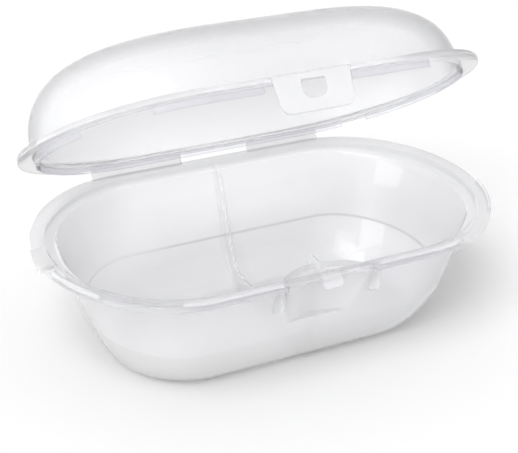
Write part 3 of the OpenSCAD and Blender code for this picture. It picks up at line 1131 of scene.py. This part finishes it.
@dataclass(frozen=True)
class Divider(Part):
    """The thin U-shaped panel across the tray, which makes two compartments."""

    tray: Tray
    sunk: float = 0.4
    thick: float = 1.0
    edge: float = 0.3
    top_under: float = 0.1
    back_rise: float = 0.7  # over the seat, so that the lid's skirt passes over it
    back_in: float = 1.2
    front_in: float = 2.0
    foot_under: float = 1.5  # points of the free edge paired with the recess's corners
    foot_over: float = 0.5
    seat_over: float = 0.8
    floor_wide: float = 5.0
    knee_in: float = 3.2
    knee_rise: float = 4.0
    knee_pull: float = 2.0
    knee_run: float = 11.0
    steps: int = 8
    dense: int = 140

    @staticmethod
    def leaning(foot: Point, tip: Point, heights: Point) -> Array:
        """Points at some heights on a straight line in Y and Z from foot to tip."""
        z = np.array(heights)
        return np.stack([foot[0] + (z - foot[1]) / (tip[1] - foot[1]) * (tip[0] - foot[0]), z], 1)

    def edges(self) -> tuple[Array, Array]:
        """Outer and free edge of the panel in Y and Z, paired point by point.

        Both run from the top at the back over the floor to the top at the front. The outer
        edge is sunk in the wall, the bowl, the finger recess and the shelf over it. The free
        edge runs straight down to a knee, a quadratic curve, and lies level over the floor.

        Returns:
            The two edges.
        """
        case, tray, sunk = self.case, self.tray, self.sunk
        flip = np.array([-1.0, 1.0])
        top, seat = case.tray_height - self.top_under, tray.seat - sunk
        back_top = tray.seat + self.back_rise
        floor, foot = case.wall - sunk, tray.recess_foot - case.wall + sunk
        recess, lip = case.rim.b - tray.recess_deep - case.wall, case.mouth.b - case.free
        t = np.linspace(0, 1, self.steps + 1)
        bowl = np.array([(tray.bowl_at(u).b + sunk, floor + (tray.crease_height - floor) * u * u) for u in t])
        mouth, head = case.mouth.b + sunk, tray.wall_head.b + sunk
        outer = np.concatenate([
            [[mouth, back_top], [mouth, tray.seat], [head, tray.wall_top]],
            bowl[::-1],
            [[0.0, floor]],
            bowl * flip,
            [[-tray.wall_at(foot).b - sunk, foot], [-recess - sunk, foot], [-recess - sunk, seat]],
            [[-lip, seat], [-lip, top]],
        ])
        level, knee = case.wall + self.floor_wide, tray.bowl_at(0.0).b + self.knee_in
        path = [(knee, level + self.knee_rise), (knee - self.knee_pull, level), (knee - self.knee_run, level)]
        bend = bezier(np.array(path), self.steps)
        back_tip = (case.mouth.b - tray.side_ledge - self.back_in, top)
        front_tip = (recess - self.front_in, top)
        heights = (foot - self.foot_under, foot + self.foot_over, seat, seat + self.seat_over, top)
        free = np.concatenate([
            self.leaning(path[0], back_tip, (back_top, tray.seat, tray.wall_top)),
            bend,
            [[0.0, level]],
            bend[::-1] * flip,
            self.leaning(path[0], front_tip, heights) * flip,
        ])
        return outer, free

    def panel(self) -> Surface:
        """The panel: a flat section carried round from edge to edge.

        The section runs from the outer edge on one face to the free edge, turns it with two
        quarter rounds of radius `edge`, and comes back on the other face. At both tops the
        section thins in the same quarter round.

        Returns:
            The closed panel.
        """
        edge, half = self.edge, self.thick / 2
        inset, depth = edge_rounding(edge)
        lowered = np.stack([0 * inset, inset], 1)
        lines = self.edges()
        keep = distances(lines[0])
        dense = np.unique(np.concatenate([keep, np.linspace(0, keep[-1], self.dense + 1)]))
        fine = (np.stack([np.interp(dense, keep, line[:, i]) for i in range(2)], 1) for line in lines)
        outer, free = (
            np.concatenate([line[:1] - lowered, line[1:-1], (line[-1:] - lowered)[::-1]]) for line in fine
        )
        thin = np.concatenate([edge - depth, np.zeros(len(dense) - 2), (edge - depth)[::-1]])
        way = unit(outer - free)
        reach = np.concatenate([[2 * edge], inset[::-1]])
        reach = np.concatenate([reach, reach[::-1]])
        side = np.concatenate([[half, half], half - edge + depth[::-1]])
        side = np.concatenate([side, -side[::-1]])
        flat = free[:, None] + reach[:, None] * way[:, None]
        flat = np.concatenate([outer[:, None], flat, outer[:, None]], 1)
        x = np.sign(side) * (np.abs(side) - thin[:, None])
        return Surface(np.concatenate([x[..., None], flat], 2))

    def build(self) -> None:
        """Makes the panel."""
        place("divider_panel", [self.panel()], Body.TRAY, self.finishes.divider, ["divider_fin"])


@dataclass(frozen=True)
class Catch(Part):
    """The block that the latch's window drops over, and the gussets on either side of it."""

    tray: Tray
    gusset_at: float = 13.5
    gusset_half: float = 0.5
    gusset_rise: float = 5.2
    gusset_in: float = 1.0
    gusset_slope: float = 3.0
    gusset_sunk: float = 0.2
    gusset_foot: Point = (1.0, 0.7)  # where the wall is measured, and how far outside it
    gusset_head: Point = (-2.0, 0.5)
    gusset_round: float = 0.3
    block_half: float = 2.5
    block_foot: float = 30.86
    block_out: float = 0.2
    block_sunk: float = 0.5
    block_slope: float = 1.0
    block_lead: Point = (1.0, 0.9)
    block_back: float = 0.1
    block_round: float = 0.25

    def gussets(self) -> list[Surface]:
        """Wedges beside the latch, from the flange down the wall.

        Returns:
            The left and the right one.
        """
        tray = self.tray
        out = self.case.rim.b - self.gusset_in
        foot, top = tray.recess_foot + self.gusset_rise, tray.flange_base + self.gusset_sunk
        points = [
            (-out, foot + self.gusset_slope),
            (-tray.wall_at(foot + self.gusset_foot[0]).b - self.gusset_foot[1], foot),
            (-tray.wall_at(tray.flange_base + self.gusset_head[0]).b - self.gusset_head[1], top),
            (-out, top),
        ]
        half, radius = self.gusset_half, self.gusset_round
        shape = Rounded.from_polygon(points, radius)
        return [prism(shape, x - half, x + half, radius) for x in (-self.gusset_at, self.gusset_at)]

    def block(self) -> Surface:
        """Block with a sloping lead on top.

        Returns:
            The block.
        """
        case, foot, top = self.case, self.block_foot, self.case.tray_height
        out, back = case.rim.b + self.block_out, case.mouth.b + case.wall - self.block_sunk
        points = [
            (-out, foot),
            (-back, foot + self.block_slope),
            (-back, top - self.block_back),
            (-case.rim.b + self.block_lead[0], top),
            (-out, top - self.block_lead[1]),
        ]
        shape = Rounded.from_polygon(points, self.block_round)
        return prism(shape, -self.block_half, self.block_half, self.block_round)

    def build(self) -> None:
        """Makes the gussets and the block."""
        place("latch_gussets", self.gussets(), Body.TRAY, self.finishes.rim, ["latch_guides"])
        place("catch_block", [self.block()], Body.TRAY, self.finishes.rim, ["latch_catch"])


# ------------------------ lid


@dataclass(frozen=True)
class Lid(Part):
    """The domed lid with its flange."""

    dome_height: float = 22.5
    dome_end: float = 3.5
    dome_side: float = 4.2
    dome_short: float = 9.6
    power_along: float = 0.44
    power_across: float = 0.92
    power_up: float = 0.85
    crown: float = 88.0
    foot_under: float = 0.3
    notch_half: float = 10.9
    notch_in: float = 1.3
    # painted shade on the inside's right back
    haze: float = 0.26
    painted_shade_to_right: Point = (-15.0, 50.0)
    painted_shade_to_back: Point = (0.0, 8.0)
    even: float = 0.8
    even_over: float = 0.6
    even_run: float = -0.5
    steps: int = 44
    front_dense: float = 0.5
    front_counts: tuple[int, int] = (9, 61)

    def dome_rows(self, grow: float, height: float) -> list[list[float]]:
        """Profile rows of the dome, from its crown down to the flange.

        At angle t the length goes with cos(t)^m, the width with cos(t)^n and the height with
        sin(t)^k. The angles lie closer together at both ends.

        Args:
            grow: How far its foot lies outside.
            height: Height of the crown.

        Returns:
            The rows, highest first.
        """
        rim = self.case.rim
        a, b = rim.a - self.dome_end + grow, rim.b - self.dome_side + grow
        s = rim.s - self.dome_short
        share = (1 - np.cos(np.linspace(0, math.pi, self.steps))) / 2
        rows = []
        for t in np.radians(self.crown * (1 - share)):
            along, across = math.cos(t) ** self.power_along, math.cos(t) ** self.power_across
            up = math.sin(max(t, 0.0)) ** self.power_up
            rows.append(Outline(a * along, b * across, s * along).row(self.case.lid_top + height * up))
        return rows

    def shell(self) -> Surface:
        """Dome and flange as one wall, from the crown round the flange to the crown inside. Its
        inside has painted shade at the right back, and its flange is less shaded by a slant.

        Returns:
            The wall, with its marks.
        """
        case, rim = self.case, self.case.rim
        inner = case.skirt.grown(-case.wall)
        rows = self.dome_rows(0.0, self.dome_height)
        rows += [rim.row(case.lid_top), rim.row(case.lid_base)]
        rows += [inner.row(case.lid_base), inner.row(case.lid_top - self.foot_under)]
        rows += self.dome_rows(-case.wall, self.dome_height - case.wall)[::-1][1:]
        rows = filleted(rows, steps=3)
        grid = loft(rows, stations(front_steps(self.front_dense, *self.front_counts)))
        x, y, z = np.moveaxis(grid, 2, 0)
        lowest = np.flatnonzero(np.isclose(rows[:, 3], case.lid_base)).max()
        inside = (np.arange(len(rows)) > lowest)[:, None]
        # painted shade inside at the right back; the flange less shaded by the slant
        marks = {
            Mark.PAINTED_SHADE: self.haze * inside * ramp(x, *self.painted_shade_to_right) * ramp(y, *self.painted_shade_to_back),
            Mark.EVEN: self.even * ramp(z, case.lid_top + self.even_over, self.even_run),
        }
        shape = clip_front(grid, self.notch_half, rim.b - self.notch_in)
        return Surface(case.opened(shape), marks=marks)

    def build(self) -> None:
        """Makes the shell."""
        nodes = ["lid_dome", "lid_rim"]
        place("lid_shell", [self.shell()], Body.LID, self.finishes.lid, nodes)


@dataclass(frozen=True)
class Skirt(Part):
    """The skirt under the lid's flange, in five stretches with vents between them."""

    depth: float = 1.6
    sunk: float = 0.3
    edge: float = 0.3
    runs: tuple[tuple[str, Point, Point], ...] = (
        ("front_left", (-39.3, -33.2), (-10.9, -33.2)),
        ("front_right", (10.9, -33.2), (36.0, -33.2)),
        ("left", (-58.8, 6.0), (-53.0, -19.0)),
        ("back", (42.0, 33.2), (-57.0, 12.0)),
        ("right", (54.0, -18.0), (46.3, 26.0)),
    )  # each stretch with points near its start and its end

    def piece(self, start: Point, end: Point) -> Surface:
        """One stretch of the skirt, counter-clockwise from start to end."""
        low, high = (-self.case.wall, self.case.lid_base - self.depth), (0.0, self.case.lid_base + self.sunk)
        return Surface(self.case.opened(strip(self.case.skirt, low, high, start, end, self.edge)))

    def build(self) -> None:
        """Makes the five stretches."""
        for side, *run in self.runs:
            nodes = ["lid_skirt_" + side]
            place("skirt_" + side, [self.piece(*run)], Body.LID, self.finishes.skirt, nodes)


# ------------------------ latch


@dataclass(frozen=True)
class Latch(Part):
    """The tab that hangs from the lid's flange and snaps over the catch."""

    width: float = 20.6
    drop: float = 8.3
    thick: float = 1.0
    taper: float = 0.7
    rounds: Point = (2.6, 2.6, 0.4, 0.4)
    window_width: float = 6.5
    window_height: float = 4.5
    window_drop: float = 0.6
    window_rounds: Point = (2.4, 2.4, 0.3, 0.3)
    edge: float = 0.25
    spokes: int = 180
    rows: int = 5  # points across each face, between the round edges

    @staticmethod
    def polar(outline: Array, centre: Array, angle: Array) -> Array:
        """Distance from centre to an outline at each angle, by interpolation round it.

        Args:
            outline: Its points.
            centre: A point inside it.
            angle: The angles.

        Returns:
            The distances.
        """
        d = outline - centre
        t = np.arctan2(d[:, 1], d[:, 0])
        order = np.argsort(t)
        return np.interp(angle, t[order], np.hypot(d[order, 0], d[order, 1]), period=2 * math.pi)

    @staticmethod
    def round_shape(corners: Sequence[Point], rounds: Point, steps: int = 24, legs: int = 11) -> Array:
        """Dense outline of a four-sided shape whose corners have radii of their own.

        Args:
            corners: Corners, counter-clockwise.
            rounds: Radius at each.
            steps: Steps round each.
            legs: Points for each step.

        Returns:
            Its points.
        """
        arcs = []
        for i, radius in enumerate(rounds):
            shape = Rounded.from_polygon(corners, radius, steps)
            arcs.append(shape.at(radius)[0, i * (steps + 1) : (i + 1) * (steps + 1)])
        ring = np.concatenate(arcs + [arcs[0][:1]])[:, None]
        t = np.linspace(0, 1, legs + 1)[None, :-1, None]
        return (ring[:-1] * (1 - t) + ring[1:] * t).reshape(-1, 2)

    def plate(self) -> Surface:
        """Tab with its window, as a ring whose section runs from the window to the outer edge.

        At each angle round the window's middle the section is a rectangle with quarter-round
        corners, between the window's edge and the tab's outline.

        Returns:
            The ring.
        """
        case, edge = self.case, self.edge
        half, foot, top = self.width / 2, case.lid_base - self.drop, case.lid_top
        narrow = half - self.taper
        outer = self.round_shape([(-narrow, foot), (narrow, foot), (half, top), (-half, top)], self.rounds)
        w, high = self.window_width / 2, case.lid_base - self.window_drop
        low = high - self.window_height
        window = self.round_shape([(-w, low), (w, low), (w, high), (-w, high)], self.window_rounds)
        centre = np.array([0.0, (low + high) / 2])
        angle = np.linspace(-math.pi, math.pi, self.spokes + 1)[:-1]
        near, far = self.polar(window, centre, angle), self.polar(outer, centre, angle)
        inset, depth = edge_rounding(edge)
        run = near + edge + np.linspace(0, 1, self.rows + 2)[1:-1, None] * (far - near - 2 * edge)
        lead, tail = near + (edge - depth)[:, None], far - (edge - depth)[:, None]
        front, flat = -case.rim.b, np.zeros(len(run))
        back = front + self.thick
        radius = np.concatenate([lead[::-1], run, tail, tail[::-1], run[::-1], lead])
        level = np.concatenate([
            front + inset[::-1], flat + front, front + inset, back - inset[::-1], flat + back, back - inset,
        ])
        x, z = centre[0] + radius * np.cos(angle), centre[1] + radius * np.sin(angle)
        ring = np.stack([x, np.broadcast_to(level[:, None], x.shape), z], 2)
        return Surface(case.opened(ring), joined=True)

    def build(self) -> None:
        """Makes the tab."""
        place("latch_plate", [self.plate()], Body.LATCH, self.finishes.latch, ["latch_tab"])


# ------------------------ hinge


@dataclass(frozen=True)
class Hinge(Part):
    """The two bending straps at the back."""

    outer: float = 35.3
    gap: float = 21.0
    offset: float = 1.9
    thick: float = 0.8
    thin: float = 0.4
    taper: float = 0.7
    root: Point = (-0.3, -0.65)  # from the flange's edge and top
    reach: Point = (0.9, -0.5)
    bow: float = 0.12
    steps: int = 20
    stations: int = 31
    fixed: Point = (0.2, 0.4)  # where the bend starts and ends, outside and inside the flanges

    def section(self) -> Array:
        """Outline of a strap in Y and Z: a curved band, thin where it bends.

        Its middle line is drawn from the tray's flange by the hinge line to the lid's. Its
        thickness grows from thin to thick with |2t - 1|^taper, where t runs from 0 to 1.

        Returns:
            The outline.
        """
        case = self.case
        low = np.array([(0, case.rim.b + y, case.tray_height + z) for y, z in (self.root, self.reach)])
        high = low[::-1].copy()
        high[:, 2] = 2 * case.hinge_z - high[:, 2]
        bend = [[0, case.hinge_y + self.bow, case.hinge_z]]
        curve = bezier(np.concatenate([low, bend, case.opened(high)])[:, 1:], self.steps)
        along = unit(np.gradient(curve, axis=0))
        normal = np.stack([along[:, 1], -along[:, 0]], 1)
        t = np.linspace(0, 1, len(curve))[:, None]
        half = (self.thin + (self.thick - self.thin) * np.abs(2 * t - 1) ** self.taper) / 2
        return np.concatenate([curve + half * normal, (curve - half * normal)[::-1]])

    def strap(self, low: float, high: float) -> Surface:
        """One strap: the section carried along X from low to high."""
        x, (y, z) = np.linspace(low, high, self.stations)[:, None], self.section().T
        return Surface(np.stack(np.broadcast_arrays(x, y[None], z[None]), 2))

    def build(self) -> None:
        """Makes the straps, which bend between tray and lid."""
        case, (out, inward) = self.case, self.fixed
        start = (0.0, (case.rim.b + out) * MM, (case.tray_height - inward) * MM)
        far = case.opened(np.array([0.0, case.rim.b + out, case.lid_base + inward]))
        bend = (start, tuple(float(c) * MM for c in far))
        spans = {
            "left": (-self.outer, self.offset - self.gap / 2, ["hinge_leaves_base", "hinge_web_left"]),
            "right": (self.offset + self.gap / 2, self.outer, ["hinge_leaves_lid", "hinge_web_right"]),
        }
        for side, (low, high, nodes) in spans.items():
            strap = self.strap(low, high)
            place("hinge_strap_" + side, [strap], Body.TRAY, self.finishes.hinge, nodes, bend)


# ------------------------ studio


@dataclass(frozen=True)
class Lamp:
    """A soft rectangular lamp that faces the case, in degrees and metres. A radiance of 1 is as
    bright as white surroundings."""

    name: str
    azimuth: float
    elevation: float
    distance: float
    size: tuple[float, float]
    radiance: float
    gloss: bool = True  # whether it shows in gloss
    diffuse: bool = True  # whether it lights what scatters


@dataclass(frozen=True)
class Studio:
    """Floor, soft light, white surroundings and the camera, in metres apart from the aim."""

    aim: Point = (-2.58, -0.82, 30.5)
    azimuth: float = -26.76
    elevation: float = 28.35
    roll: float = 1.34
    distance: float = 0.33495
    lens: float = 87.716
    floor_size: float = 6.0
    floor_low: float = -0.00005
    floor_white: float = 0.95
    floor_lift: float = 0.07
    # painted pool of light under the case, seen through its walls
    painted_pool_glow: float = 0.27
    painted_pool_full: float = 0.06
    painted_pool_reach: float = 0.11
    ambient: float = 0.52
    lamps: tuple[Lamp, ...] = (
        Lamp("window", -79, 22, 6.0, (3.0, 5.2), 1.9, diffuse=False),
        Lamp("overhead", -51, 52, 8.0, (4.6, 4.6), 6.25, gloss=False),
        Lamp("fill", -62, 14, 6.0, (3.0, 3.0), 2.0, gloss=False),
        Lamp("panel", -40, 48, 6.0, (3.0, 3.0), 1.15, diffuse=False),
    )

    def facing(self, azimuth: float, elevation: float, distance: float, roll: float = 0.0) -> Matrix:
        """Place and turn of a camera or lamp that faces the case.

        Its back is (sin az cos el, -cos az cos el, sin el). Its right is level, and then turned
        with its up by the roll.

        Args:
            azimuth: Direction in degrees, from -Y towards +X.
            elevation: Degrees over the floor.
            distance: Metres from the aim.
            roll: Roll in degrees.

        Returns:
            The matrix.
        """
        az, el, lean = (math.radians(v) for v in (azimuth, elevation, roll))
        back = np.array([math.sin(az) * math.cos(el), -math.cos(az) * math.cos(el), math.sin(el)])
        right = unit(np.cross([0, 0, 1], back))
        up = np.cross(back, right)
        across = math.cos(lean) * right + math.sin(lean) * up
        upward = math.cos(lean) * up - math.sin(lean) * right
        turn = np.eye(4)
        turn[:3] = np.stack([across, upward, back, np.array(self.aim) * MM + distance * back], 1)
        return Matrix(turn.tolist())

    def camera(self) -> None:
        """Camera at its azimuth, elevation and roll round the aim."""
        data = bpy.data.cameras.new("camera")
        data.lens = self.lens
        data.clip_start = 0.01
        obj = bpy.data.objects.new("camera", data)
        obj.matrix_world = self.facing(self.azimuth, self.elevation, self.distance, self.roll)
        bpy.context.scene.collection.objects.link(obj)
        bpy.context.scene.camera = obj

    @staticmethod
    def seen_directly(wiring: Wiring) -> Socket:
        """Adds nodes that tell which rays see the white background.

        Args:
            wiring: Where the nodes go.

        Returns:
            1 for camera, glossy and transmission rays that haven't scattered.
        """
        path = wiring.add("LightPath").outputs
        seen = wiring.math("MAXIMUM", path["Is Camera Ray"], path["Is Glossy Ray"])
        seen = wiring.math("MAXIMUM", seen, path["Is Transmission Ray"])
        return wiring.math("MULTIPLY", seen, wiring.math("LESS_THAN", path["Diffuse Depth"], 0.5))

    def floor(self) -> None:
        """White floor that keeps the shadow. What is seen directly glows faintly, and more in a
        painted pool of light under the case, where it is seen through the walls, standing for light brought
        through the case."""
        h, low = self.floor_size / 2, self.floor_low
        mesh = bpy.data.meshes.new("floor")
        mesh.from_pydata([(-h, -h, low), (h, -h, low), (h, h, low), (-h, h, low)], [], [(0, 1, 2, 3)])
        obj = bpy.data.objects.new("floor", mesh)
        bpy.context.scene.collection.objects.link(obj)
        mat = bpy.data.materials.new("white_floor")
        mat.use_nodes = True
        wiring = Wiring(mat.node_tree)
        where = wiring.add("TexCoord").outputs["Object"]
        away = wiring.add("VectorMath", {0: where}, operation="LENGTH").outputs["Value"]
        edge = {"Value": away, "From Min": self.painted_pool_reach, "From Max": self.painted_pool_full}
        pool = wiring.add("MapRange", edge, interpolation_type="SMOOTHSTEP").outputs["Result"]
        through = wiring.add("LightPath").outputs["Is Transmission Ray"]
        glow = wiring.spread(wiring.math("MULTIPLY", through, pool), self.floor_lift, self.painted_pool_glow)
        wiring.feed(wiring.nodes["Principled BSDF"], {
            "Base Color": (self.floor_white, self.floor_white, self.floor_white, 1),
            "Roughness": 0.9,
            "Specular IOR Level": 0.0,
            "Emission Color": (1, 1, 1, 1),
            "Emission Strength": wiring.math("MULTIPLY", self.seen_directly(wiring), glow),
        })
        mesh.materials.append(mat)

    def world(self) -> None:
        """White to the camera, to gloss and through clear walls, and softer as a light."""
        world = bpy.data.worlds.new("soft_white")
        bpy.context.scene.world = world
        world.use_nodes = True
        wiring = Wiring(world.node_tree)
        strength = wiring.spread(self.seen_directly(wiring), self.ambient, 1.0)
        wiring.feed(wiring.nodes["Background"], {"Color": (1, 1, 1, 1), "Strength": strength})

    def light(self, lamp: Lamp) -> None:
        """Sets up a lamp, whose power is pi times its radiance and its area.

        Args:
            lamp: The lamp.
        """
        data = bpy.data.lights.new(lamp.name, "AREA")
        data.shape = "RECTANGLE"
        data.size, data.size_y = lamp.size
        data.energy = math.pi * lamp.radiance * lamp.size[0] * lamp.size[1]
        obj = bpy.data.objects.new(lamp.name, data)
        obj.matrix_world = self.facing(lamp.azimuth, lamp.elevation, lamp.distance)
        obj.visible_glossy = lamp.gloss
        obj.visible_diffuse = lamp.diffuse
        bpy.context.scene.collection.objects.link(obj)

    def build(self) -> None:
        """Sets up the whole studio."""
        self.camera()
        self.floor()
        self.world()
        for lamp in self.lamps:
            self.light(lamp)
        bpy.context.scene.view_settings.view_transform = "Standard"


def main() -> None:
    """Sets up the studio and builds the case around the frame."""
    logging.basicConfig(level=logging.INFO, format="%(message)s")
    shared = (Case.from_frame(STRAIGHT), Finishes())
    Studio().build()
    tray = Tray(*shared)
    details = (RimTrim(*shared), Divider(*shared, tray), Catch(*shared, tray))
    for part in (tray, *details, Lid(*shared), Skirt(*shared), Latch(*shared), Hinge(*shared)):
        part.build()


if __name__ == "__main__":
    main()
